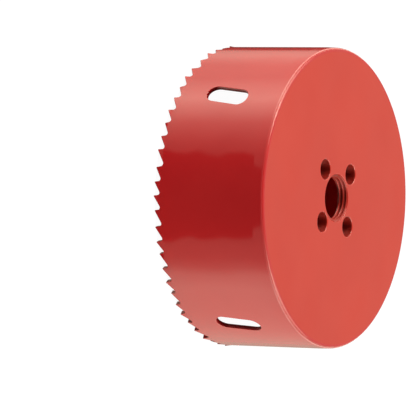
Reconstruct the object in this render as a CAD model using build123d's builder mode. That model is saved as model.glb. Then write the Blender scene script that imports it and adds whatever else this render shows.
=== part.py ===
from build123d import *

import os
from math import asin, atan2, cos, pi, radians, sin

# A bi-metal hole saw: a toothed strip rolled into a ring, closed by a welded back plate.
#
# Millimetres, +Z out of the back plate. The origin is on the saw's axis, in the plane of the
# tooth tips, so that the saw stands mouth down on its teeth. Angles are in degrees and run
# anticlockwise about +Z from +X, as seen from the drill.

# ---------------------------------------------------------------------------- driving sizes
cut_diameter = 102.0  # the hole that the saw cuts, over its outward set teeth
overall_height = 41.3  # tooth tips to the outer face of the back plate

strip_thickness = 1.5
rim_width = 0.7  # rounding of the strip's edge around the back plate, along its face
rim_height = 0.8  # the same rounding, down the wall
rim_cones = 4  # short cones that the rounding is turned as, which keeps the packed mesh light
neck_draw = 0.15  # how far welding draws in the end of the strip, as a slight cone
neck_height = 4.5  # height of the drawn-in end

tooth_count = 62
tooth_set = 0.3  # how far a set tooth's tip leans outwards or inwards
set_height = 1.7  # height over which a set tooth leans
set_pattern = (1, -1, 0)  # outward, inward, raker
gullet_depth = 2.2  # at the mean pitch, and in step with the pitch elsewhere
gullet_radius = 0.8  # at the mean pitch, too
rake_angle = 8.0  # lean of the cutting face behind the upright
tip_land = 0.25  # flat left on each tip
# One milled group of tooth pitches, repeated along the strip and closed up to fill the ring.
pitch_group = (5.2, 5.3, 4.8, 5.0, 4.8, 5.9, 4.9, 4.6, 4.9, 5.5, 5.0,
               4.4, 5.3, 5.2, 5.0, 5.0, 4.6, 5.5, 5.3, 6.5, 5.1, 4.9)

seam_angle = 132.0  # butt weld of the rolled strip
first_tip_offset = 0.9  # seam to the first tip, along the strip

slot_count = 4
slot_length = 16.0
slot_width = 6.5
slot_slant = 8.5  # lean of a slot off the axis
slot_depth = 21.3  # outer face of the back plate to the middle of a slot
slot_pitch = 98.5  # degrees from one slot to the next
slot_margin = 35.25  # degrees from the seam to the first slot

plate_thickness = 4.0
thread_minor_diameter = 14.5  # 5/8"-18 UNF arbor thread, at its crests
thread_mouth_diameter = 16.2  # countersink at each end of the thread
thread_mouth_depth = 0.5
pin_hole_count = 4
pin_hole_diameter = 6.8  # clears a 1/4" drive pin
pin_circle_diameter = 25.0
pin_angle = 77.1  # first drive-pin hole
pin_lip = 0.35  # chamfer on each drive-pin hole's edges

cut_clearance = 1.0  # how far cutting tools run past what they cut

# --------------------------------------------------------------------------- derived sizes
wall_outer = cut_diameter / 2 - tooth_set
wall_inner = wall_outer - strip_thickness
plate_base = overall_height - plate_thickness
mean_pitch = 2 * pi * wall_outer / tooth_count
degrees_per_mm = 180 / (pi * wall_outer)

# Tooth tips around the ring. Pitch n runs from tooth n to the tooth behind it.
group_pitches = [pitch_group[n % len(pitch_group)] for n in range(tooth_count)]
closing_scale = tooth_count * mean_pitch / sum(group_pitches)
pitches = [closing_scale * pitch for pitch in group_pitches]
tip_angles = []
tip_position = first_tip_offset
for n in range(tooth_count):
    tip_angles.append(seam_angle + degrees_per_mm * tip_position)
    tip_position += pitches[n]


def section_plane(angle):
    """Upright plane through the saw's axis, with x along the radius and y up."""
    radius = Vector(cos(radians(angle)), sin(radians(angle)), 0)
    return Plane(origin=(0, 0, 0), x_dir=radius, z_dir=radius.cross(Vector(0, 0, 1)))


def wall_plane(angle, height=0.0):
    """Plane just outside the wall, with x along the strip and y up."""
    radius = Vector(cos(radians(angle)), sin(radians(angle)), 0)
    origin = radius * (wall_outer + tooth_set + cut_clearance) + Vector(0, 0, height)
    return Plane(origin=origin, x_dir=Vector(0, 0, 1).cross(radius), z_dir=radius)


def gullet_arc(pitch):
    """Radius and centre of a gullet's arc, measured from the tip of the tooth behind it."""
    scale = pitch / mean_pitch
    radius = scale * gullet_radius
    rise = scale * (gullet_depth - gullet_radius)
    setback = (radius + rise * sin(radians(rake_angle))) / cos(radians(rake_angle))
    return radius, Vector(-setback, rise)


def gullet_edges(pitch):
    """Edges of one gullet: straight back slope, round bottom and straight cutting face."""
    radius, centre = gullet_arc(pitch)
    heel = Vector(tip_land - pitch, 0)
    reach = (centre - heel).length
    slope = atan2(centre.Y - heel.Y, centre.X - heel.X) + asin(radius / reach)
    back = Line(heel, centre + Vector(-sin(slope), cos(slope)) * radius)
    rake = Line(centre + Vector(cos(radians(rake_angle)), sin(radians(rake_angle))) * radius, (0, 0))
    ThreePointArc(back @ 1, centre + Vector(0, radius), rake @ 0)
    Polyline(rake @ 1, (0, -cut_clearance), (heel.X, -cut_clearance), heel)


def rim_point(n):
    """Point n of the rim's section, which is a quarter of an ellipse from the wall to the face."""
    turn = pi / 2 * n / rim_cones
    radius = wall_outer - neck_draw - rim_width * (1 - cos(turn))
    return radius, overall_height - rim_height * (1 - sin(turn))


# ------------------------------------------------------------------------------ toothed wall
with BuildPart() as toothed_wall:
    with BuildSketch(section_plane(0)):
        with BuildLine():
            Polyline(
                (wall_inner, overall_height),
                (wall_inner, set_height),
                (wall_outer, set_height),
                (wall_outer, overall_height - neck_height),
                *[rim_point(n) for n in range(rim_cones + 1)],
                close=True,
            )
        make_face()
    revolve(axis=Axis.Z)

    # Each tooth is a sector of strip that leans with its set. It runs between the middles of the
    # gullets beside it, less a gap that the gullets take away.
    gullet_angles = [
        tip_angles[n] + degrees_per_mm * (pitches[n] + gullet_arc(pitches[n])[1].X)
        for n in range(tooth_count)
    ]
    sector_gap = degrees_per_mm * gullet_radius / 4
    teeth = []
    for n in range(tooth_count):
        lean = tooth_set * set_pattern[n % len(set_pattern)]
        front = gullet_angles[n - 1] - (360 if n == 0 else 0) + sector_gap
        with BuildSketch(section_plane(front), mode=Mode.PRIVATE) as tooth_section:
            with BuildLine():
                Polyline(
                    (wall_inner, set_height),
                    (wall_inner + lean, 0),
                    (wall_outer + lean, 0),
                    (wall_outer, set_height),
                    close=True,
                )
            make_face()
        teeth.append(
            revolve(
                tooth_section.sketch.faces(),
                axis=Axis.Z,
                revolution_arc=gullet_angles[n] - sector_gap - front,
                mode=Mode.PRIVATE,
            )
        )
    add(teeth)

    cut_depth = strip_thickness + 2 * (tooth_set + cut_clearance)
    for n in range(tooth_count):
        with BuildSketch(wall_plane(tip_angles[n] + degrees_per_mm * pitches[n])):
            with BuildLine():
                gullet_edges(pitches[n])
            make_face()
    extrude(amount=-cut_depth, mode=Mode.SUBTRACT)

    for n in range(slot_count):
        slot_angle = seam_angle + slot_margin + n * slot_pitch
        with BuildSketch(wall_plane(slot_angle, overall_height - slot_depth)):
            SlotOverall(slot_length, slot_width, rotation=90 - slot_slant)
    extrude(amount=-cut_depth, mode=Mode.SUBTRACT)
toothed_wall.part.label = "toothed_wall"

# -------------------------------------------------------------------------------- back plate
with BuildPart() as back_plate:
    with BuildSketch(section_plane(0)):
        with BuildLine():
            Polyline(
                (thread_minor_diameter / 2, plate_base + thread_mouth_depth),
                (thread_mouth_diameter / 2, plate_base),
                (wall_inner, plate_base),
                (wall_inner, overall_height),
                (thread_mouth_diameter / 2, overall_height),
                (thread_minor_diameter / 2, overall_height - thread_mouth_depth),
                close=True,
            )
        make_face()
    revolve(axis=Axis.Z)

    with Locations((0, 0, overall_height)):
        with PolarLocations(pin_circle_diameter / 2, pin_hole_count, start_angle=pin_angle):
            Hole(pin_hole_diameter / 2)
    chamfer(back_plate.edges(Select.LAST).filter_by(GeomType.CIRCLE), pin_lip)
back_plate.part.label = "back_plate"

# ------------------------------------------------------------------------------------ export
os.makedirs("parts", exist_ok=True)
export_step(toothed_wall.part, "parts/toothed_wall.step")
export_step(back_plate.part, "parts/back_plate.step")
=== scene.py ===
"""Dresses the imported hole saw: enamelled strip with rolled teeth, threaded back plate, studio and camera.

Lengths are in metres in the row frame: +Z out of the back plate, the tooth tips on z = 0. A position on
the strip before it is rolled is (along, height), with along measured from the butt weld.
"""

import logging
from collections.abc import Callable
from dataclasses import dataclass
from enum import Enum
from itertools import accumulate
from math import asin, atan2, ceil, cos, hypot, pi, radians, sin, tan

import bmesh
import bpy
import numpy as np
from mathutils import Matrix, Vector
from mathutils.geometry import delaunay_2d_cdt


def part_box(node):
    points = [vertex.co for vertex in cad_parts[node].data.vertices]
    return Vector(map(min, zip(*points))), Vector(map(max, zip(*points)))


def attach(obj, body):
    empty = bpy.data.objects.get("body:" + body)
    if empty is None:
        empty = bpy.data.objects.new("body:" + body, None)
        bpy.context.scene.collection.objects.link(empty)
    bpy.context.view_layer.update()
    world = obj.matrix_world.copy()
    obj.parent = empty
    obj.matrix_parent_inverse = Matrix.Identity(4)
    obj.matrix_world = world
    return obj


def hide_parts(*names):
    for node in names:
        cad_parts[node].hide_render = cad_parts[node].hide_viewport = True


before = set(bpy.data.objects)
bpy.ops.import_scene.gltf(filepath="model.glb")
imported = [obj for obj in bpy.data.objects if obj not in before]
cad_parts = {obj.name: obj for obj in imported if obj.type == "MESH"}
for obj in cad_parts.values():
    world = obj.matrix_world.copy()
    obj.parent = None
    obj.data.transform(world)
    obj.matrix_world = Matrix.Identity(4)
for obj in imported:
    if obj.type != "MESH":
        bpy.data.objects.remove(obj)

logging.basicConfig(level=logging.INFO, format="%(message)s")
log = logging.getLogger("hole_saw")

MM = 0.001
Point = tuple[float, float]
Points = tuple[Point, ...]
Triple = tuple[float, float, float]
Socket = bpy.types.NodeSocket


class ToothSet(Enum):
    """Which way the tip of a tooth leans."""

    OUTWARD = 1
    INWARD = -1
    RAKER = 0


class Slot(Enum):
    """Names of the material slots."""

    WALL = "wall_enamel"
    PLATE = "plate_enamel"


def grey(level: float) -> tuple[float, ...]:
    """An opaque grey."""
    return (level, level, level, 1.0)


# -------------------- node trees
def operator(operation: str, swapped: bool = False) -> Callable[["Term", object], "Term"]:
    """An operator that adds a Math node to a term's tree, for the term and a term, socket or number."""
    return lambda term, other: term.build.math(operation, *((other, term) if swapped else (term, other)))


class Term:
    """A number in a node tree, by the socket that gives it."""

    def __init__(self, build: "TreeBuilder", socket: Socket) -> None:
        """Keeps the tree's builder and the socket."""
        self.build = build
        self.socket = socket

    __add__ = __radd__ = operator("ADD")
    __sub__ = operator("SUBTRACT")
    __rsub__ = operator("SUBTRACT", swapped=True)
    __mul__ = operator("MULTIPLY")
    __truediv__ = operator("DIVIDE")
    __pow__ = operator("POWER")

    def clamp(self) -> "Term":
        """This term, kept between 0 and 1 by the Math node that gives it."""
        self.socket.node.use_clamp = True
        return self


class TreeBuilder:
    """Adds nodes to a tree and wires them, so that a rule reads as a formula."""

    def __init__(self, tree: bpy.types.NodeTree) -> None:
        """Keeps the tree to build in, of geometry or of a material."""
        self.tree = tree
        self.nodes = tree.nodes

    def node(
        self, kind: str, inputs: dict[str | int, object] | None = None, **settings: object
    ) -> bpy.types.Node:
        """Adds a node.

        Args:
            kind: The node's type name.
            inputs: What its inputs are fed with, by name or number.
            **settings: Values of the node's own properties.

        Returns:
            The new node.
        """
        made = self.nodes.new(kind)
        for name, value in settings.items():
            setattr(made, name, value)
        self.feed(made, inputs or {})
        return made

    def feed(self, node: bpy.types.Node, inputs: dict[str | int, object]) -> None:
        """Links the inputs of a node, or sets their own values.

        Args:
            node: The node.
            inputs: Terms, sockets or plain values, by the input's name or number.
        """
        for key, value in inputs.items():
            given = value.socket if isinstance(value, Term) else value
            if isinstance(given, Socket):
                self.tree.links.new(given, node.inputs[key])
            else:
                node.inputs[key].default_value = given

    def math(self, operation: str, *values: object) -> Term:
        """Adds a Math node by the operation's name, for terms, sockets or numbers."""
        made = self.node("ShaderNodeMath", dict(enumerate(values)), operation=operation)
        return Term(self, made.outputs[0])

    def join(self, x: Term, y: Term, z: Term) -> Socket:
        """Joins three numbers to a vector."""
        return self.node("ShaderNodeCombineXYZ", {0: x, 1: y, 2: z}).outputs[0]

    def split(self, vector: Socket) -> tuple[Term, ...]:
        """Splits a vector into its three numbers."""
        return tuple(Term(self, socket) for socket in self.node("ShaderNodeSeparateXYZ", {0: vector}).outputs)


class GeometryTree(TreeBuilder):
    """A geometry tree with named sizes, which its geometry passes through step by step."""

    def __init__(self, name: str, sizes: dict[str, float]) -> None:
        """Starts the tree.

        Args:
            name: The tree's name.
            sizes: Names and default values of its float inputs.
        """
        super().__init__(bpy.data.node_groups.new(name, "GeometryNodeTree"))
        add = self.tree.interface.new_socket
        add("Geometry", in_out="INPUT", socket_type="NodeSocketGeometry")
        for label, value in sizes.items():
            add(label, in_out="INPUT", socket_type="NodeSocketFloat").default_value = value
        self.finish = add("Finish", in_out="INPUT", socket_type="NodeSocketMaterial").identifier
        add("Geometry", in_out="OUTPUT", socket_type="NodeSocketGeometry")
        self.given = self.node("NodeGroupInput").outputs
        self.geometry = self.given["Geometry"]

    def size(self, label: str) -> Term:
        """One of the tree's named sizes."""
        return Term(self, self.given[label])

    def position(self) -> tuple[Term, ...]:
        """The three coordinates of each vertex."""
        return self.split(self.node("GeometryNodeInputPosition").outputs[0])

    def attribute(self, name: str, data_type: str = "FLOAT") -> Term:
        """A named attribute of the given type."""
        made = self.node("GeometryNodeInputNamedAttribute", {"Name": name}, data_type=data_type)
        return Term(self, made.outputs["Attribute"])

    def step(self, kind: str, inputs: dict[str, object], **settings: object) -> None:
        """Adds a node of a kind that the geometry passes through, with what feeds its other inputs."""
        made = self.node(kind, {"Geometry": self.geometry, **inputs}, **settings)
        self.geometry = made.outputs["Geometry"]

    def store(self, name: str, value: object, data_type: str = "FLOAT") -> None:
        """Adds a step that stores a value of the given type at each vertex."""
        inputs = {"Name": name, "Value": value}
        self.step("GeometryNodeStoreNamedAttribute", inputs, data_type=data_type, domain="POINT")

    def run(self, blank: bpy.types.Object, finish: bpy.types.Material) -> None:
        """Ends the tree in Realize Instances and Set Material, and makes its result the blank's mesh.

        Args:
            blank: The object to run on, which keeps no modifier.
            finish: The material.
        """
        self.step("GeometryNodeRealizeInstances", {})
        self.step("GeometryNodeSetMaterial", {"Material": self.given["Finish"]})
        self.node("NodeGroupOutput", {0: self.geometry})
        modifier = blank.modifiers.new(self.tree.name, "NODES")
        modifier.node_group = self.tree
        modifier[self.finish] = finish
        depsgraph = bpy.context.evaluated_depsgraph_get()
        made = bpy.data.meshes.new_from_object(blank.evaluated_get(depsgraph), depsgraph=depsgraph)
        blank.modifiers.clear()
        blank.data = made
        made.name = blank.name


class MaterialTree(TreeBuilder):
    """A material and its tree. Angles in it are in radians, and its limits in degrees."""

    def __init__(self, name: str) -> None:
        """Adds the material.

        Args:
            name: Its name.
        """
        self.material = bpy.data.materials.new(name)
        self.material.use_nodes = True
        super().__init__(self.material.node_tree)

    def place(self) -> Socket:
        """Object coordinates."""
        return self.node("ShaderNodeTexCoord").outputs["Object"]

    def noise(self, size: float, detail: float = 1.0) -> Socket:
        """Noise from 0 to 1 by the distance of its clouds, with a number of finer noises laid over it."""
        inputs = {"Vector": self.place(), "Scale": 1 / size, "Detail": detail}
        return self.node("ShaderNodeTexNoise", inputs).outputs["Fac"]

    def between(self, angle: Term, start: float, end: float) -> Term:
        """Rises smoothly from 0 to 1 as an angle goes from a start to an end."""
        inputs = {"Value": angle, "From Min": radians(start), "From Max": radians(end)}
        return Term(self, self.node("ShaderNodeMapRange", inputs, interpolation_type="SMOOTHSTEP").outputs[0])

    def ring(self, angle: Term, stops: Points) -> Term:
        """A level that changes with an angle, evenly from one stop to the next.

        Args:
            angle: The angle, from -pi to pi.
            stops: Angles, each with the level there.

        Returns:
            The level.
        """
        ramp = self.node("ShaderNodeValToRGB", {0: angle / (2 * pi) + 0.5})
        elements = ramp.color_ramp.elements
        highest = max(level for _, level in stops)
        for n, (turn, level) in enumerate(stops):
            element = elements[n] if n < len(elements) else elements.new(1.0)
            element.position = 0.5 + turn / 360.0
            element.color = grey(level / highest)
        return Term(self, ramp.outputs[0]) * highest


def put(name: str, data: bpy.types.ID) -> bpy.types.Object:
    """Adds an object to the scene.

    Args:
        name: The object's name.
        data: Its mesh, lamp or camera.

    Returns:
        The object.
    """
    made = bpy.data.objects.new(name, data)
    bpy.context.scene.collection.objects.link(made)
    return made


# -------------------- finishes
@dataclass(frozen=True)
class GlossEnamel:
    """Sprayed and baked red enamel: smooth gloss with orange peel and a little unevenness.

    A vertex attribute paints shade into it where shade falls: darker base colour, less gloss and more
    roughness in holes, in slots, on the sides of the teeth and between the thread's crests.
    """

    name: str
    colour: Triple = (0.60, 0.021, 0.021)
    deep_colour: Triple = (0.56, 0.016, 0.018)
    cloud_limits: Point = (0.30, 0.62)  # noise at which the deep colour ends and the other is reached
    roughness: float = 0.07
    gloss: float = 0.5
    refraction: float = 1.47
    painted_shade_darkening: float = 0.74
    painted_shade_roughness: float = 0.55
    painted_shade_gloss: float = 0.3
    cloud_size: float = 30 * MM
    peel_size: float = 1.6 * MM
    peel_height: float = 0.0012 * MM
    ripple_size: float = 20 * MM
    ripple_height: float = 0.3 * MM

    def material(self) -> bpy.types.Material:
        """Builds the material.

        Returns:
            A material that reads Object coordinates and the painted-shade attribute.
        """
        tree = MaterialTree(self.name)
        ramp = tree.node("ShaderNodeValToRGB", {0: tree.noise(self.cloud_size, detail=3.0)})
        colours = (self.deep_colour, self.colour)
        for element, limit, colour in zip(ramp.color_ramp.elements, self.cloud_limits, colours):
            element.position = limit
            element.color = (*colour, 1)
        # painted shade: darkens the base colour and dulls the gloss where the attribute is high
        painted_shade = Term(tree, tree.node("ShaderNodeAttribute", attribute_name="painted_shade").outputs["Fac"])
        share = 1.0 - painted_shade * self.painted_shade_darkening
        tone = tree.node("ShaderNodeVectorMath", {0: ramp.outputs[0], "Scale": share}, operation="SCALE")
        normal = {}
        for size, height in ((self.ripple_size, self.ripple_height), (self.peel_size, self.peel_height)):
            inputs = {"Strength": 1.0, "Distance": height, "Height": tree.noise(size), **normal}
            normal = {"Normal": tree.node("ShaderNodeBump", inputs).outputs["Normal"]}
        tree.feed(tree.nodes["Principled BSDF"], {
            "Base Color": tone.outputs[0],
            "Roughness": painted_shade * (self.painted_shade_roughness - self.roughness) + self.roughness,
            "Specular IOR Level": self.gloss - painted_shade * (self.gloss * (1 - self.painted_shade_gloss)),
            "IOR": self.refraction,
            **normal,
        })
        return tree.material


# -------------------- sheet of outlines
@dataclass(frozen=True)
class Row:
    """A row of a side: how far back from the outline, how deep, how turned, and how much painted shade
    darkens it.

    At a turn of 0 it faces as the outer face does, at pi / 2 sideways and at pi as the inner face does.
    """

    back: float
    depth: float
    turn: float
    painted_shade: float = 0.0


@dataclass(frozen=True)
class Rounding:
    """A rounded edge between a face and a side: how far it reaches along each, and its steps."""

    along_face: float
    along_side: float
    steps: int
    fade: int = 4  # how late the painted shade sets in over the rounding

    def rows(self, painted_shade: float = 0.0) -> list[Row]:
        """Rows from the outer face to the side.

        Args:
            painted_shade: How much painted shade darkens it where the side begins.

        Returns:
            The rows, the first of which borders the face.
        """
        made = []
        for step in np.linspace(0, pi / 2, self.steps + 1):
            turn = atan2(self.along_side * sin(step), self.along_face * cos(step))
            back, sunk = self.along_face * (1 - sin(step)), self.along_side * (1 - cos(step))
            made.append(Row(back, -sunk, turn, painted_shade * sin(step) ** self.fade))
        return made

    def side(self, thickness: float, painted_shades: Triple = (0.0, 0.0, 0.0), parts: int = 1) -> list[Row]:
        """Rows of a whole side with this rounding at both faces.

        Args:
            thickness: Distance between the faces.
            painted_shades: How much painted shade darkens it at the outer edge, between the edges and at the
                inner edge.
            parts: Rows of faces between the edges.

        Returns:
            The rows from the outer face to the inner one.
        """
        outer, middle, inner = painted_shades
        depths = np.linspace(-self.along_side, self.along_side - thickness, parts + 1)[1:-1]
        between = [Row(0.0, depth, pi / 2, middle) for depth in depths]
        below = [Row(row.back, -thickness - row.depth, pi - row.turn, row.painted_shade) for row in self.rows(inner)]
        return self.rows(outer) + between + below[::-1]


@dataclass
class Border:
    """A border of a flat face: its flat points, its vertices and whether it is a loop."""

    places: np.ndarray
    vertices: list[int]
    closed: bool


class SheetMesh:
    """A closed sheet made of two flat nets and the sides between, in (along, depth, height) coordinates.

    Depth is 0 on the outer face and negative below it. Each vertex has its exact normal, which the
    trees turn with the sheet, so that reflections run true over the uneven net.
    """

    up = (0.0, 1.0)  # for rows of a face, which face neither way in the flat
    sliver = 0.0005  # mm; width of triangles between points that were meant to be in line
    tolerance = 1e-5  # mm; points closer than this are one

    def __init__(self, thickness: float) -> None:
        """Starts with no vertices.

        Args:
            thickness: Distance between the faces.
        """
        self.thickness = thickness
        self.points: list[list[float]] = []
        self.normals: list[list[float]] = []
        # painted shade at each vertex
        self.painted_shades: list[float] = []
        self.faces: list[tuple[int, ...]] = []
        self.borders: dict[int, list[Border]] = {1: [], -1: []}

    def _row(self, flat: np.ndarray, out: np.ndarray, row: Row) -> list[int]:
        """Adds a row of vertices.

        Args:
            flat: Flat points, before the row stands back from them.
            out: Their mitred normals in the flat, out of the material.
            row: The row.

        Returns:
            The new vertices' numbers.
        """
        first, count = len(self.points), len(flat)
        spots = flat - out * row.back
        unit = out / np.linalg.norm(out, axis=1)[:, None] * sin(row.turn)
        self.points += np.insert(spots, 1, row.depth, 1).tolist()
        self.normals += np.insert(unit, 1, cos(row.turn), 1).tolist()
        self.painted_shades += [row.painted_shade] * count
        return list(range(first, first + count))

    def side(
        self, line: np.ndarray, out: np.ndarray, rows: list[Row], closed: bool = True, on_left: bool = False
    ) -> None:
        """Adds a side of the sheet along an outline, and borders both faces with it.

        Args:
            line: The outline.
            out: Its mitred normals, out of the material.
            rows: The side's rows, from the outer face to the inner one.
            closed: Whether the outline is a loop.
            on_left: Whether the material is on the left of the outline.
        """
        made = [self._row(line, out, row) for row in rows]
        for face, end in ((1, 0), (-1, -1)):
            self.borders[face].append(Border(line - out * rows[end].back, made[end], closed))
        count = len(line)
        for pair in zip(made, made[1:]):
            start, end = reversed(pair) if on_left else pair
            for k in range(count if closed else count - 1):
                after = (k + 1) % count
                self.faces.append((start[k], start[after], end[after], end[k]))

    def face_rows(self) -> tuple[tuple[int, Row], ...]:
        """The outer face, 1, and the inner one, -1, each with a row that lies in it."""
        return (1, Row(0.0, 0.0, 0.0)), (-1, Row(0.0, -self.thickness, pi))

    def seams(self, lines: list[np.ndarray]) -> None:
        """Borders both faces with open lines that are welded to each other later.

        Args:
            lines: The lines.
        """
        for face, row in self.face_rows():
            for line in lines:
                made = self._row(line, np.tile(self.up, (len(line), 1)), row)
                self.borders[face].append(Border(line, made, False))

    def fill(self, inner: np.ndarray) -> None:
        """Fills both faces between their borders.

        Args:
            inner: Flat points to use where they are in the material.
        """
        for face, row in self.face_rows():
            flat, numbers, edges = [], [], []
            for border in self.borders[face]:
                first, count = len(flat), len(border.vertices)
                flat += border.places.tolist()
                numbers += border.vertices
                last = count if border.closed else count - 1
                edges += [(first + k, first + (k + 1) % count) for k in range(last)]
            segments = np.array([(*flat[start], *flat[end]) for start, end in edges])
            inside = [point for point in inner.tolist() if self._in_material(segments, *point)]
            numbers += self._row(np.array(inside), np.tile(self.up, (len(inside), 1)), row)
            scaled = [Vector(point) / MM for point in flat + inside]
            places, _, triangles, origins, _, _ = delaunay_2d_cdt(scaled, edges, [], 0, self.tolerance)
            for triangle in triangles:
                across = [places[k].x for k in triangle]
                middle = sum((places[k] for k in triangle), Vector((0, 0))) * MM / 3
                if max(across) - min(across) > self.sliver and self._in_material(segments, *middle):
                    self.faces.append(tuple(numbers[origins[k][0]] for k in triangle)[::face])

    @staticmethod
    def _in_material(segments: np.ndarray, x: float, z: float) -> bool:
        """Whether a flat point is in the material.

        Args:
            segments: The borders' segments: start and end, one row each.
            x: The point's place along the sheet.
            z: The point's height.

        Returns:
            True where a line straight down crosses the segments an odd number of times.
        """
        start_x, start_z, end_x, end_z = segments.T
        over = (start_x <= x) != (end_x <= x)
        span = np.where(over, end_x - start_x, 1.0)
        crossing = start_z + (x - start_x) / span * (end_z - start_z)
        return int(np.sum(over & (crossing < z))) % 2 == 1

    def object(self, name: str) -> bpy.types.Object:
        """Makes the sheet an object.

        Args:
            name: The object's name.

        Returns:
            The object, with the attribute true_normal and the painted-shade attribute on its vertices.
        """
        mesh = bpy.data.meshes.new(name)
        mesh.from_pydata(self.points, [], self.faces)
        mark(mesh, "true_normal", np.array(self.normals))
        mark(mesh, "painted_shade", np.array(self.painted_shades))
        return put(name, mesh)


def mark(mesh: bpy.types.Mesh, name: str, values: np.ndarray) -> None:
    """Stores a number or a vector at each vertex.

    Args:
        mesh: The mesh.
        name: The attribute's name.
        values: The numbers, or the vectors in rows.
    """
    kind, key = ("FLOAT", "value") if values.ndim == 1 else ("FLOAT_VECTOR", "vector")
    kept = mesh.attributes.new(name, kind, "POINT")
    kept.data.foreach_set(key, values.astype(np.float32).ravel())


def dress(piece: bpy.types.Object, node: str, slot: Slot) -> None:
    """Gives a finished piece its exact normals and its place in the frame.

    Args:
        piece: The piece, with its normals in the attribute true_normal.
        node: The CAD node that it stands for.
        slot: Its material slot; not used.
    """
    mesh = piece.data
    normals = np.zeros(len(mesh.vertices) * 3, np.float32)
    mesh.attributes["true_normal"].data.foreach_get("vector", normals)
    for name in ("true_normal", "lean", "thread"):
        if name in mesh.attributes:
            mesh.attributes.remove(mesh.attributes[name])
    mesh.polygons.foreach_set("use_smooth", np.ones(len(mesh.polygons), bool))
    mesh.normals_split_custom_set_from_vertices(normals.reshape(-1, 3).tolist())
    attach(piece, "root")
    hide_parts(node)
    log.info("%s: %d triangles", piece.name, sum(len(p.vertices) - 2 for p in mesh.polygons))


def ring(steps: int, start: float = 0.0) -> np.ndarray:
    """Unit vectors evenly round a circle, from a start angle."""
    turns = start + np.linspace(0, 2 * pi, steps + 1)[:-1]
    return np.stack([np.cos(turns), np.sin(turns)], 1)


def arc(centre: Point | np.ndarray, radius: float, start: float, end: float, steps: int) -> np.ndarray:
    """Points of an arc, both ends included, by its centre, radius, angles and steps."""
    turns = np.linspace(start, end, steps + 1)
    return np.array(centre) + radius * np.stack([np.cos(turns), np.sin(turns)], 1)


def mitres(line: np.ndarray, on_left: bool) -> np.ndarray:
    """Normals of a flat loop that point out of the material, mitred at its corners.

    Args:
        line: The loop.
        on_left: Whether the material is on its left.

    Returns:
        One vector for each point, whose length is that of the mitre.
    """
    sides = []
    for way in (np.roll(line, -1, 0) - line, line - np.roll(line, 1, 0)):
        way /= np.linalg.norm(way, axis=1)[:, None]
        sides.append(np.stack([-way[:, 1], way[:, 0]], 1) * (-1 if on_left else 1))
    mean = sides[0] + sides[1]
    mean /= np.linalg.norm(mean, axis=1)[:, None]
    least = 0.6  # keeps the mitre of a sharp corner short
    return mean / np.clip((mean * sides[0]).sum(1), least, 1.0)[:, None]


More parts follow.
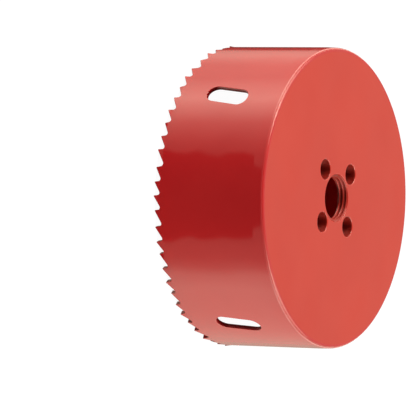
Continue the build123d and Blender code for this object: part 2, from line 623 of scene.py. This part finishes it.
# -------------------- toothed wall
@dataclass
class ToothedWall:
    """The bi-metal strip: cut to its outline with teeth and slots, rounded by enamel and rolled."""

    height: float
    enamel: GlossEnamel
    cut_diameter: float = 102.0 * MM
    tooth_set: float = 0.3 * MM
    set_height: float = 1.7 * MM
    set_bend: float = 1.3  # power of the height by which a set tooth leans more towards its tip
    set_pattern: tuple[ToothSet, ...] = (ToothSet.OUTWARD, ToothSet.INWARD, ToothSet.RAKER)
    pitch_group: tuple[float, ...] = (
        5.2, 5.3, 4.8, 5.0, 4.8, 5.9, 4.9, 4.6, 4.9, 5.5, 5.0,
        4.4, 5.3, 5.2, 5.0, 5.0, 4.6, 5.5, 5.3, 6.5, 5.1, 4.9,
    )
    tooth_count: int = 62
    gullet_depth: float = 2.2 * MM
    gullet_radius: float = 0.8 * MM
    gullet_steps: int = 4
    rake_angle: float = radians(8.0)
    tip_land: float = 0.25 * MM
    tip_round: float = 0.15 * MM
    first_tip: float = 0.9 * MM
    seam_angle: float = radians(132.0)
    thickness: float = 1.5 * MM
    slot_count: int = 4
    slot_length: float = 16.0 * MM
    slot_width: float = 6.5 * MM
    slot_slant: float = radians(8.5)
    slot_depth: float = 21.3 * MM
    slot_pitch: float = radians(98.5)
    slot_margin: float = radians(35.25)
    slot_end_steps: int = 16
    slot_side_steps: int = 6
    rim: Rounding = Rounding(1.1 * MM, 0.9 * MM, 8)
    rim_corner: float = 0.01 * MM
    paint: Rounding = Rounding(0.12 * MM, 0.12 * MM, 3)
    # painted shade on the cut sides of the teeth and slots: at the outer edge, between the edges and at the
    # inner edge
    tooth_painted_shade: Triple = (0.7, 0.7, 0.7)
    slot_painted_shade: Triple = (0.3, 1.0, 1.0)
    neck_draw: float = 0.15 * MM
    neck_height: float = 4.5 * MM
    neck_bend: float = 1.12  # power of the height by which the neck draws in
    weld_distance: float = 0.002 * MM
    columns: int = 220
    lowest_row: float = 1.32 * gullet_depth  # above the deepest gullet
    body_rows: int = 8
    body_end: float = -0.6  # mm above the neck's start
    neck_rows: tuple[float, ...] = (-0.25, 0.0, 0.25, 0.6, 1.2, 2.2)  # mm above it
    slot_clearance: float = 0.47 * MM
    tooth_rows: Points = ((0.8, 1.1), (1.3, 1.9), (1.8, 2.7))  # mm up and mm back at mean pitch
    tooth_step: float = 0.7 * MM
    face_clearance: float = 0.45 * MM

    @property
    def radius(self) -> float:
        """Outer radius of the rolled strip."""
        return self.cut_diameter / 2 - self.tooth_set

    @property
    def length(self) -> float:
        """Length of the strip before it is rolled."""
        return 2 * pi * self.radius

    def pitches(self) -> list[float]:
        """Tooth pitches along the strip, closed up to fill it."""
        group = [self.pitch_group[n % len(self.pitch_group)] for n in range(self.tooth_count)]
        return [self.length * pitch / sum(group) for pitch in group]

    def tips(self) -> list[float]:
        """Places of the tooth tips along the strip."""
        return list(accumulate(self.pitches()[:-1], initial=self.first_tip))

    def gullet(self, pitch: float) -> tuple[float, Point]:
        """Radius and centre of a gullet's arc.

        Args:
            pitch: The pitch that the gullet fills.

        Returns:
            The radius, and the centre from the tip of the tooth behind the gullet.
        """
        scale = pitch * self.tooth_count / self.length
        radius = scale * self.gullet_radius
        rise = scale * (self.gullet_depth - self.gullet_radius)
        return radius, (-(radius + rise * sin(self.rake_angle)) / cos(self.rake_angle), rise)

    def tooth_line(self) -> np.ndarray:
        """The toothed edge from the middle of the last gullet, once along the strip.

        Returns:
            Flat points, which end one strip length after the first.
        """
        pitches, rake, corner, steps = self.pitches(), self.rake_angle, self.tip_round, self.gullet_steps
        line = []
        for n, tip in enumerate(self.tips()):
            front_radius, front = self.gullet(pitches[n - 1])
            back_radius, back = self.gullet(pitches[n])
            heel, centre = tip + self.tip_land, (tip + pitches[n] + back[0], back[1])
            reach = hypot(centre[0] - heel, centre[1])
            slope = atan2(centre[1], centre[0] - heel) + asin(back_radius / reach)
            tip_centre = (tip + corner * (1 - sin(rake)) / cos(rake), corner)
            heel_centre = (heel - corner * tan(slope / 2), corner)
            line += [
                arc((tip + front[0], front[1]), front_radius, pi / 2, rake, steps),
                arc(tip_centre, corner, pi + rake, 1.5 * pi, steps),
                arc(heel_centre, corner, 1.5 * pi, 1.5 * pi + slope, steps - 1),
                arc(centre, back_radius, pi / 2 + slope, pi / 2, steps)[:-1],
            ]
        return np.concatenate([*line, line[0][:1] + (self.length, 0.0)])

    def slot_middle(self, n: int) -> np.ndarray:
        """Flat middle of slot n."""
        turn = self.slot_margin + n * self.slot_pitch
        return np.array([self.radius * turn, self.height - self.slot_depth])

    def slot_outline(self, n: int) -> np.ndarray:
        """Flat outline of a slot.

        Args:
            n: The slot's number.

        Returns:
            Its points, run round so that the material is on their right.
        """
        half, lean, steps = self.slot_width / 2, -self.slot_slant, self.slot_end_steps
        reach = (self.slot_length / 2 - half) * np.array([sin(self.slot_slant), cos(self.slot_slant)])
        upper = arc(self.slot_middle(n) + reach, half, lean, lean + pi, steps)
        lower = arc(self.slot_middle(n) - reach, half, lean + pi, lean + 2 * pi, steps)
        parts = self.slot_side_steps + 1
        left = np.linspace(upper[-1], lower[0], parts)[1:-1]
        right = np.linspace(lower[-1], upper[0], parts)[1:-1]
        return np.concatenate([upper, left, lower, right])

    def _clear_of_slots(self, points: np.ndarray) -> np.ndarray:
        """Leaves out points in slots and close to them.

        Args:
            points: Flat points.

        Returns:
            The points that are left.
        """
        lean, half = self.slot_slant, self.slot_width / 2
        for n in range(self.slot_count):
            dx, dz = (points - self.slot_middle(n)).T
            along, across = dx * sin(lean) + dz * cos(lean), dx * cos(lean) - dz * sin(lean)
            beyond = np.maximum(np.abs(along) - (self.slot_length / 2 - half), 0.0)
            points = points[np.hypot(across, beyond) >= half + self.slot_clearance]
        return points

    def blank(self) -> bpy.types.Object:
        """Builds the flat strip with its teeth, slots and rounded edges.

        Returns:
            The blank, open at the two ends that the butt weld joins.
        """
        sheet = SheetMesh(self.thickness)
        line, rows = self.tooth_line(), self._rows()
        out = mitres(line, on_left=True)
        out[0] = out[-1] = (0.0, -1.0)  # in the middle of the gullet that the weld divides
        # painted shade on the sides of the teeth and of the slots
        painted_shades = (self.tooth_painted_shade, self.slot_painted_shade)
        tooth_side, slot_side = (self.paint.side(self.thickness, painted_shade, parts=2) for painted_shade in painted_shades)
        sheet.side(line, out, tooth_side, closed=False, on_left=True)
        for n in range(self.slot_count):
            outline = self.slot_outline(n)
            sheet.side(outline, mitres(outline, on_left=False), slot_side)
        columns = line[0, 0] + np.linspace(0, self.length, self.columns + 1)
        top = np.insert(columns[:, None], 1, self.height, 1)
        sheet.side(top, np.tile(sheet.up, (len(top), 1)), self._rim_rows(), closed=False)
        sheet.seams([np.array([(along, z) for z in rows]) for along in (columns[0], columns[-1])])
        grid = self._clear_of_slots(np.array([(x, z) for x in columns[1:-1] for z in rows]))
        sheet.fill(np.concatenate([grid, self._tooth_points()]))
        made = sheet.object("toothed_wall_strip")
        mark(made.data, "lean", self._leans(np.array(sheet.points)[:, 0]))
        return made

    def _rim_rows(self) -> list[Row]:
        """Rows of the strip's rounded upper edge.

        Returns:
            The rows from the outer face to a sharp corner on the inner one, and down from there.
        """
        inner, corner = -self.thickness, self.rim_corner
        return self.rim.rows() + [
            Row(0.0, inner + corner, pi / 2), Row(0.0, inner, 0.75 * pi), Row(corner, inner, pi),
            Row(self.rim.along_face, inner, pi),
        ]

    def _rows(self) -> list[float]:
        """Heights of the net's rows.

        Returns:
            Heights above the deepest gullet, close together where the neck starts.
        """
        neck = self.height - self.neck_height
        body = np.linspace(self.lowest_row, neck + self.body_end * MM, self.body_rows)
        return body.tolist() + [neck + step * MM for step in self.neck_rows]

    def _tooth_points(self) -> np.ndarray:
        """Net points in the body of each tooth, so that its set bends it evenly.

        Returns:
            Flat points in three rows, each as long as the tooth is there.
        """
        points = []
        for tip, pitch in zip(self.tips(), self.pitches()):
            scale = pitch * self.tooth_count / self.length
            for height, reach in self.tooth_rows:
                z = height * scale * MM
                start = self.face_clearance + z * tan(self.rake_angle)
                points += [(tip + x, z) for x in np.arange(start, reach * scale * MM, self.tooth_step)]
        return np.array(points)

    def _leans(self, along: np.ndarray) -> np.ndarray:
        """How the tooth at each place is set.

        Args:
            along: Places along the strip.

        Returns:
            1 for outwards, -1 for inwards and 0 for straight.
        """
        teeth = zip(self.tips(), self.pitches())
        ends = [tip + pitch + self.gullet(pitch)[1][0] for tip, pitch in teeth]
        tooth = np.searchsorted(ends, along, side="right") % self.tooth_count
        signs = [self.set_pattern[n % len(self.set_pattern)].value for n in range(self.tooth_count)]
        return np.array(signs, float)[tooth]

    def rolling_tree(self) -> GeometryTree:
        """The tree that sets the teeth, draws in the neck and rolls the strip.

        Returns:
            The tree, with the sizes as inputs.
        """
        tree = GeometryTree("Roll strip", {
            "Radius": self.radius, "Seam Angle": self.seam_angle, "Thickness": self.thickness,
            "Tooth Set": self.tooth_set, "Set Height": self.set_height, "Neck Draw": self.neck_draw,
            "Neck Start": self.height - self.neck_height, "Neck Length": self.neck_height,
            "Weld Distance": self.weld_distance,
        })
        size = tree.size
        along, depth, height = tree.position()
        facing_x, facing_y, facing_z = tree.split(tree.attribute("true_normal", "FLOAT_VECTOR"))
        # set of the teeth
        free = (1.0 - height / size("Set Height")).clamp()
        reach = tree.attribute("lean") * size("Tooth Set")
        lean = reach * free ** self.set_bend
        lean_slope = reach / size("Set Height") * -self.set_bend * free ** (self.set_bend - 1)
        # neck
        share = ((height - size("Neck Start")) / size("Neck Length")).clamp()
        pull = (1.0 + depth / size("Thickness")) * size("Neck Draw")
        neck = pull * share ** self.neck_bend
        neck_slope = pull / size("Neck Length") * self.neck_bend * share ** (self.neck_bend - 1)
        # roll
        radius = size("Radius") + depth + lean - neck
        angle = size("Seam Angle") + along / size("Radius")
        turn_x, turn_y = tree.math("COSINE", angle), tree.math("SINE", angle)
        facing_up = facing_z - (lean_slope - neck_slope) * facing_y
        normal_x = facing_y * turn_x - facing_x * turn_y
        normal_y = facing_y * turn_y + facing_x * turn_x
        normal = tree.join(normal_x, normal_y, facing_up)
        unit = tree.node("ShaderNodeVectorMath", {0: normal}, operation="NORMALIZE").outputs[0]
        tree.store("true_normal", unit, "FLOAT_VECTOR")
        rolled = tree.join(radius * turn_x, radius * turn_y, height)
        tree.step("GeometryNodeSetPosition", {"Position": rolled})
        tree.step("GeometryNodeMergeByDistance", {"Distance": size("Weld Distance")})
        return tree

    def build(self) -> None:
        """Builds the rolled strip and dresses it."""
        strip = self.blank()
        self.rolling_tree().run(strip, self.enamel.material())
        dress(strip, "toothed_wall", Slot.WALL)


# -------------------- back plate
@dataclass
class BackPlate:
    """The turned disc with four drive-pin holes and the arbor thread."""

    base: float
    top: float
    radius: float
    enamel: GlossEnamel
    start_angle: float
    columns: int
    rim: Rounding = Rounding(0.0, 0.01 * MM, 1)
    pin_count: int = 4
    pin_radius: float = 3.4 * MM
    pin_circle: float = 12.5 * MM
    pin_angle: float = radians(77.1)
    pin_lip: Rounding = Rounding(0.35 * MM, 0.35 * MM, 5, fade=8)
    # painted shade on the walls of the drive-pin holes
    pin_painted_shade: Triple = (1.0, 1.0, 1.0)
    thread_crest: float = 7.25 * MM
    thread_root: float = 7.94 * MM
    thread_pitch: float = 25.4 / 18 * MM
    thread_start: float = 0.45  # in turns
    root_flat: float = 0.12  # share of half a pitch
    flank_slope: float = 1.35  # thread depths in half a pitch
    crest_shade_slope: float = 3.0  # how fast the painted shade deepens from the crest, per thread depth
    crest_shade_lift: float = 0.7  # how much the painted shade is lifted on the crest, so that the crests are painted lighter
    mouth_radius: float = 8.1 * MM
    mouth_depth: float = 0.5 * MM
    mouth_lip: Rounding = Rounding(0.18 * MM, 0.18 * MM, 3)
    mouth_unshaded_share: float = 0.36  # of the mouth's depth, down to which there is no painted shade
    mouth_shade_slope: float = 5.0  # how fast the painted shade deepens from there, per mouth depth
    # painted shade in the bore: none on the lips, full between; it also marks the rows that the thread is cut
    # in
    bore_thread_and_painted_shade: Triple = (0.0, 1.0, 0.0)
    hole_steps: int = 40
    bore_steps: int = 96
    bore_rows: int = 64

    def pin_centres(self) -> np.ndarray:
        """Flat middles of the drive-pin holes."""
        return self.pin_circle * ring(self.pin_count, self.pin_angle)

    def blank(self) -> bpy.types.Object:
        """Builds the plate with plain holes, as a sheet whose height is the plate's y.

        Returns:
            The blank. Its bore is a plain tube whose vertices are marked for the thread.
        """
        thickness = self.top - self.base
        sheet = SheetMesh(thickness)
        out = ring(self.columns, self.start_angle)
        sheet.side(self.radius * out, out, self.rim.side(thickness), on_left=True)
        out, rows = ring(self.hole_steps), self.pin_lip.side(thickness, self.pin_painted_shade)
        for centre in self.pin_centres():
            sheet.side(centre + self.pin_radius * out, -out, rows)
        out, rows = ring(self.bore_steps), self.mouth_lip.side(thickness, self.bore_thread_and_painted_shade, self.bore_rows)
        sheet.side(self.mouth_radius * out, -out, rows)
        sheet.fill(self._spread())
        made = sheet.object("back_plate_disc")
        x, _, y = np.array(sheet.points).T
        in_bore = np.hypot(x, y) < self.mouth_radius + self.mouth_lip.along_face
        # the bore's painted-shade values also mark where the thread is cut
        mark(made.data, "thread", np.where(in_bore, sheet.painted_shades, 0.0))
        return made

    def _spread(self) -> np.ndarray:
        """Net points in rings over the plate's face.

        Returns:
            Flat points that are clear of all holes.
        """
        edge, ring_step, point_step, clearance = 1.5 * MM, 3.2 * MM, 4.0 * MM, 0.6 * MM
        radii = np.arange(self.mouth_radius, self.radius - edge, ring_step)
        points = np.concatenate([radius * ring(ceil(2 * pi * radius / point_step)) for radius in radii])
        holes = [((0.0, 0.0), self.mouth_radius + self.mouth_lip.along_face)]
        holes += [(centre, self.pin_radius + self.pin_lip.along_face) for centre in self.pin_centres()]
        for centre, radius in holes:
            points = points[np.hypot(*(points - centre).T) >= radius + clearance]
        return points

    def threading_tree(self) -> GeometryTree:
        """The tree that stands the plate up, at its place, and cuts the thread in its bore.

        Returns:
            The tree, with the thread's sizes as inputs.
        """
        tree = GeometryTree("Cut thread", {
            "Face Height": self.top, "Pitch": self.thread_pitch, "Crest Radius": self.thread_crest,
            "Root Radius": self.thread_root, "Mouth Radius": self.mouth_radius,
            "Mouth Depth": self.mouth_depth, "Plate Thickness": self.top - self.base,
            "Thread Start": self.thread_start,
        })
        size = tree.size
        x, depth, y = tree.position()
        facing_x, facing_y, facing_z = tree.split(tree.attribute("true_normal", "FLOAT_VECTOR"))
        threaded = tree.attribute("thread")
        plain = 1.0 - threaded
        # turns of the thread
        turned = tree.math("ARCTAN2", y, x) / (2 * pi) - size("Thread Start")
        phase = tree.math("FRACT", depth / size("Pitch") - turned)
        flank = tree.math("ABSOLUTE", phase * 2.0 - 1.0)
        shaped = ((flank - self.root_flat) * self.flank_slope).clamp()
        full = size("Root Radius") - size("Crest Radius")
        cut = size("Root Radius") - shaped * full
        # countersink at each end of it
        sunk = tree.math("MINIMUM", depth * -1.0, depth + size("Plate Thickness")) / size("Mouth Depth")
        bevel = size("Mouth Radius") - sunk * (size("Mouth Radius") - size("Crest Radius"))
        wall = tree.math("MAXIMUM", cut, bevel)
        scale = 1.0 + threaded * (wall / size("Mouth Radius") - 1.0)
        # painted shade down the bore, left off the lips and lifted on the crests
        crest = (1.0 - (wall - size("Crest Radius")) / full * self.crest_shade_slope).clamp()
        below_lip = ((sunk - self.mouth_unshaded_share) * self.mouth_shade_slope).clamp()
        painted_shade_share = plain + threaded * (below_lip * (1.0 - crest * self.crest_shade_lift))
        # a normal of length 0 leaves the turns to Blender's own
        upright = tree.join(facing_x * plain, facing_z * plain, facing_y * plain)
        tree.store("true_normal", upright, "FLOAT_VECTOR")
        tree.store("painted_shade", tree.attribute("painted_shade") * painted_shade_share)
        stood = tree.join(x * scale, y * scale, size("Face Height") + depth)
        tree.step("GeometryNodeSetPosition", {"Position": stood})
        return tree

    def build(self) -> None:
        """Builds the threaded plate and dresses it."""
        disc = self.blank()
        self.threading_tree().run(disc, self.enamel.material())
        dress(disc, "back_plate", Slot.PLATE)


# -------------------- studio
@dataclass
class Studio:
    """Pale floor, two soft boxes and the white surround that the enamel mirrors.

    Angles are in degrees round from the camera's side or above the floor.
    """

    camera_azimuth: float  # in radians
    floor_half: float = 3.0
    floor_level: float = 0.68
    floor_roughness: float = 0.9
    floor_shade: float = 0.1  # what the camera sees of the saw's shade on the floor
    floor_glow: float = 0.965
    plain_level: float = 0.15
    box_elevation: float = 37.0
    box_distance: float = 1.2
    box_size: float = 0.5
    box_aim: float = 0.02  # above the floor
    surround_radius: float = 2.6
    low_boards: Points = (
        (-179, 0.1), (-158, 0.06), (-151, 0.7), (-139, 1.17), (-120, 1.3), (-104, 1.85),
        (-82, 4.2), (-70, 2.95), (-60, 1.7), (-44, 0.78), (-33, 0.45), (28, 0.6), (46, 0.78),
        (53, 1.25), (60, 2.3), (72, 2.75), (95, 2.05), (120, 1.38), (148, 0.82), (162, 0.5),
    )
    high_boards: Points = (
        (-174, 0.3), (-162, 2.6), (-150, 3.0), (-125, 4.6), (-100, 9.0), (-84, 13.0),
        (-71, 10.5), (-60, 4.5), (-44, 1.0), (-24, 0.04), (14, 0.03), (30, 0.7), (44, 2.0),
        (60, 5.6), (72, 9.5), (92, 7.4), (105, 5.2), (125, 4.2), (150, 2.8), (162, 2.6),
        (174, 0.3),
    )
    low_end: float = -14.0
    high_start: float = -8.0
    strips: Points = (
        (4, 1.0), (7, 0.0), (19, 0.0), (20.5, 1.0), (24, 1.0), (26, 0.0), (33.5, 0.0),
        (35.5, 1.15), (54, 1.15), (62, 0.0),
    )
    top_level: float = 0.8
    warm_white: Triple = (1.0, 0.98, 0.8)
    gap_top: float = -13.3
    gap_spread: float = 2.07  # degrees to each side for each degree down
    gap_middle: float = -1.5
    gap_edge: float = 4.5

    def build(self) -> None:
        """Builds floor, lamps, surround and world."""
        self._floor()
        self._world()
        self._soft_box("Left soft box", -88.0, 14.4)
        self._soft_box("Right soft box", 82.0, 10.4)
        self._surround()
        log.info("studio: floor, two soft boxes and surround")

    def _floor(self) -> None:
        """Adds the floor: white to the camera, apart from the shade that the saw gives it."""
        half = self.floor_half
        mesh = bpy.data.meshes.new("floor")
        corners = [(-half, -half, 0), (half, -half, 0), (half, half, 0), (-half, half, 0)]
        mesh.from_pydata(corners, [], [(0, 1, 2, 3)])
        floor = put("floor", mesh)
        floor.visible_glossy = False
        tree = MaterialTree("Pale floor")
        plain = tree.nodes["Principled BSDF"]
        finish = {"Base Color": grey(self.floor_level), "Roughness": self.floor_roughness}
        tree.feed(plain, {**finish, "Specular IOR Level": 0.0})
        shade = tree.node("ShaderNodeBsdfDiffuse", {"Color": grey(self.floor_shade)})
        glow = tree.node("ShaderNodeEmission", {"Strength": self.floor_glow})
        seen = tree.node("ShaderNodeAddShader", {0: shade.outputs[0], 1: glow.outputs[0]})
        inputs = {0: self._shown(tree), 1: plain.outputs[0], 2: seen.outputs[0]}
        mix = tree.node("ShaderNodeMixShader", inputs)
        tree.feed(tree.nodes["Material Output"], {"Surface": mix.outputs[0]})
        mesh.materials.append(tree.material)

    @staticmethod
    def _shown(build: TreeBuilder) -> Term:
        """Tells rays that see the white surround from those that light the saw.

        Args:
            build: The builder of the tree that asks.

        Returns:
            1 for rays from the camera and for mirrored and refracted ones, and 0 for others.
        """
        rays = build.node("ShaderNodeLightPath").outputs
        seen = build.math("ADD", rays["Is Camera Ray"], rays["Is Glossy Ray"])
        return (seen + rays["Is Transmission Ray"]).clamp()

    def _world(self) -> None:
        """Adds the world: white background, and a plain level of light all round."""
        world = bpy.data.worlds.new("Surround light")
        bpy.context.scene.world = world
        world.use_nodes = True
        build = TreeBuilder(world.node_tree)
        level = self._shown(build) * (1 - self.plain_level) + self.plain_level
        build.feed(build.nodes["Background"], {"Color": grey(1.0), "Strength": level})

    def _soft_box(self, name: str, azimuth: float, power: float) -> None:
        """Adds a square soft box that faces the saw. The surround stands for it in reflections.

        Args:
            name: The lamp's name.
            azimuth: Degrees round from the camera's side.
            power: Watts.
        """
        lamp = bpy.data.lights.new(name, "AREA")
        lamp.shape = "SQUARE"
        lamp.size = self.box_size
        lamp.energy = power
        turn, rise = self.camera_azimuth + radians(azimuth), radians(self.box_elevation)
        aim = Vector((cos(turn) * cos(rise), sin(turn) * cos(rise), sin(rise)))
        holder = put(name, lamp)
        holder.location = aim * self.box_distance + Vector((0, 0, self.box_aim))
        holder.rotation_mode = "QUATERNION"
        holder.rotation_quaternion = (-aim).to_track_quat("-Z", "Y")
        holder.visible_glossy = False

    def _surround(self) -> None:
        """Adds the surround that only mirrored rays see: bright boards at the sides, a dark gap in front."""
        mesh = bpy.data.meshes.new("surround")
        ball = bmesh.new()
        bmesh.ops.create_uvsphere(ball, u_segments=96, v_segments=48, radius=self.surround_radius)
        ball.to_mesh(mesh)
        ball.free()
        surround = put("surround", mesh)
        for ray in ("camera", "diffuse", "transmission", "volume_scatter", "shadow"):
            setattr(surround, f"visible_{ray}", False)
        tree = MaterialTree("Surround boards")
        tree.material.cycles.emission_sampling = "NONE"
        tree.nodes.remove(tree.nodes["Principled BSDF"])
        x, y, z = tree.split(tree.place())
        azimuth = tree.math("WRAP", tree.math("ARCTAN2", y, x) - self.camera_azimuth, pi, -pi)
        rise = tree.math("ARCSINE", z / self.surround_radius)
        low, high = (tree.ring(azimuth, boards) for boards in (self.low_boards, self.high_boards))
        upper = (high - self.top_level) * tree.ring(rise, self.strips) + self.top_level
        boards = low + (upper - low) * tree.between(rise, self.low_end, self.high_start)
        # the dark gap in front of the saw, which narrows upwards
        reach = tree.math("MAXIMUM", (radians(self.gap_top) - rise) * self.gap_spread, 0.0)
        beside = tree.math("ABSOLUTE", azimuth - radians(self.gap_middle)) - reach
        level = boards * tree.between(beside, -self.gap_edge / 2, self.gap_edge / 2)
        glow = tree.node("ShaderNodeEmission", {"Color": (*self.warm_white, 1), "Strength": level})
        tree.feed(tree.nodes["Material Output"], {"Surface": glow.outputs[0]})
        mesh.materials.append(tree.material)


@dataclass(frozen=True)
class StillCamera:
    """A long lens that looks down on the back plate, turned so that the saw lies on its side."""

    axis_tilt: float = radians(60.04)  # the saw's axis from the line of sight
    axis_turn: float = radians(1.24)  # the axis from level in the picture
    facing_angle: float = radians(309.35)  # the wall's angle that faces the camera
    picture_width: float = 416.0
    focal_length: float = 4863.4  # in pixels
    plate_centre: Point = (128.62, -9.82)  # in pixels right of and below the middle
    distance: float = 1.634
    sensor: float = 36.0

    def build(self, plate_top: float) -> None:
        """Adds the camera and makes it the scene's.

        Args:
            plate_top: Height of the back plate's outer face.
        """
        tilt, turn = self.axis_tilt, self.axis_turn
        axis = Vector((sin(tilt) * cos(turn), sin(tilt) * sin(turn), -cos(tilt)))
        left = Vector((-1, 0, 0))
        front = (left - left.dot(axis) * axis).normalized()
        row_x = cos(self.facing_angle) * front - sin(self.facing_angle) * axis.cross(front)
        to_row = Matrix((row_x, axis.cross(row_x), axis))
        seen = Vector((*self.plate_centre, self.focal_length)) * (self.distance / self.focal_length)
        lens = bpy.data.cameras.new("Still camera")
        lens.sensor_width = self.sensor
        lens.lens = self.sensor * self.focal_length / self.picture_width
        lens.clip_start = 0.05
        lens.clip_end = 20.0
        holder = put("Still camera", lens)
        holder.location = Vector((0, 0, plate_top)) - to_row @ seen
        flip = Matrix(((1, 0, 0), (0, -1, 0), (0, 0, -1)))
        holder.rotation_mode = "QUATERNION"
        holder.rotation_quaternion = (to_row @ flip).to_quaternion()
        bpy.context.scene.camera = holder
        log.info("camera: %.0f mm lens, %.2f m away", lens.lens, self.distance)


def main() -> None:
    """Builds the saw's two pieces, the studio and the camera."""
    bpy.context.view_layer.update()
    bpy.context.scene.view_settings.view_transform = "Standard"
    plate_low, plate_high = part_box("back_plate")
    wall = ToothedWall(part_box("toothed_wall")[1].z, GlossEnamel("Wall enamel"))
    wall.build()
    # the plate's painted shade in its holes and thread is lighter and glossier than the wall's
    plate_enamel = GlossEnamel(
        "Plate enamel", (0.60, 0.027, 0.013), (0.57, 0.024, 0.012), painted_shade_darkening=0.59, painted_shade_gloss=0.75
    )
    start = wall.seam_angle + wall.tooth_line()[0, 0] / wall.radius
    plate = BackPlate(
        plate_low.z, plate_high.z, wall.radius - wall.thickness, plate_enamel, start, wall.columns
    )
    plate.build()
    camera = StillCamera()
    Studio(camera.facing_angle).build()
    camera.build(plate_high.z)


if __name__ == "__main__":
    main()
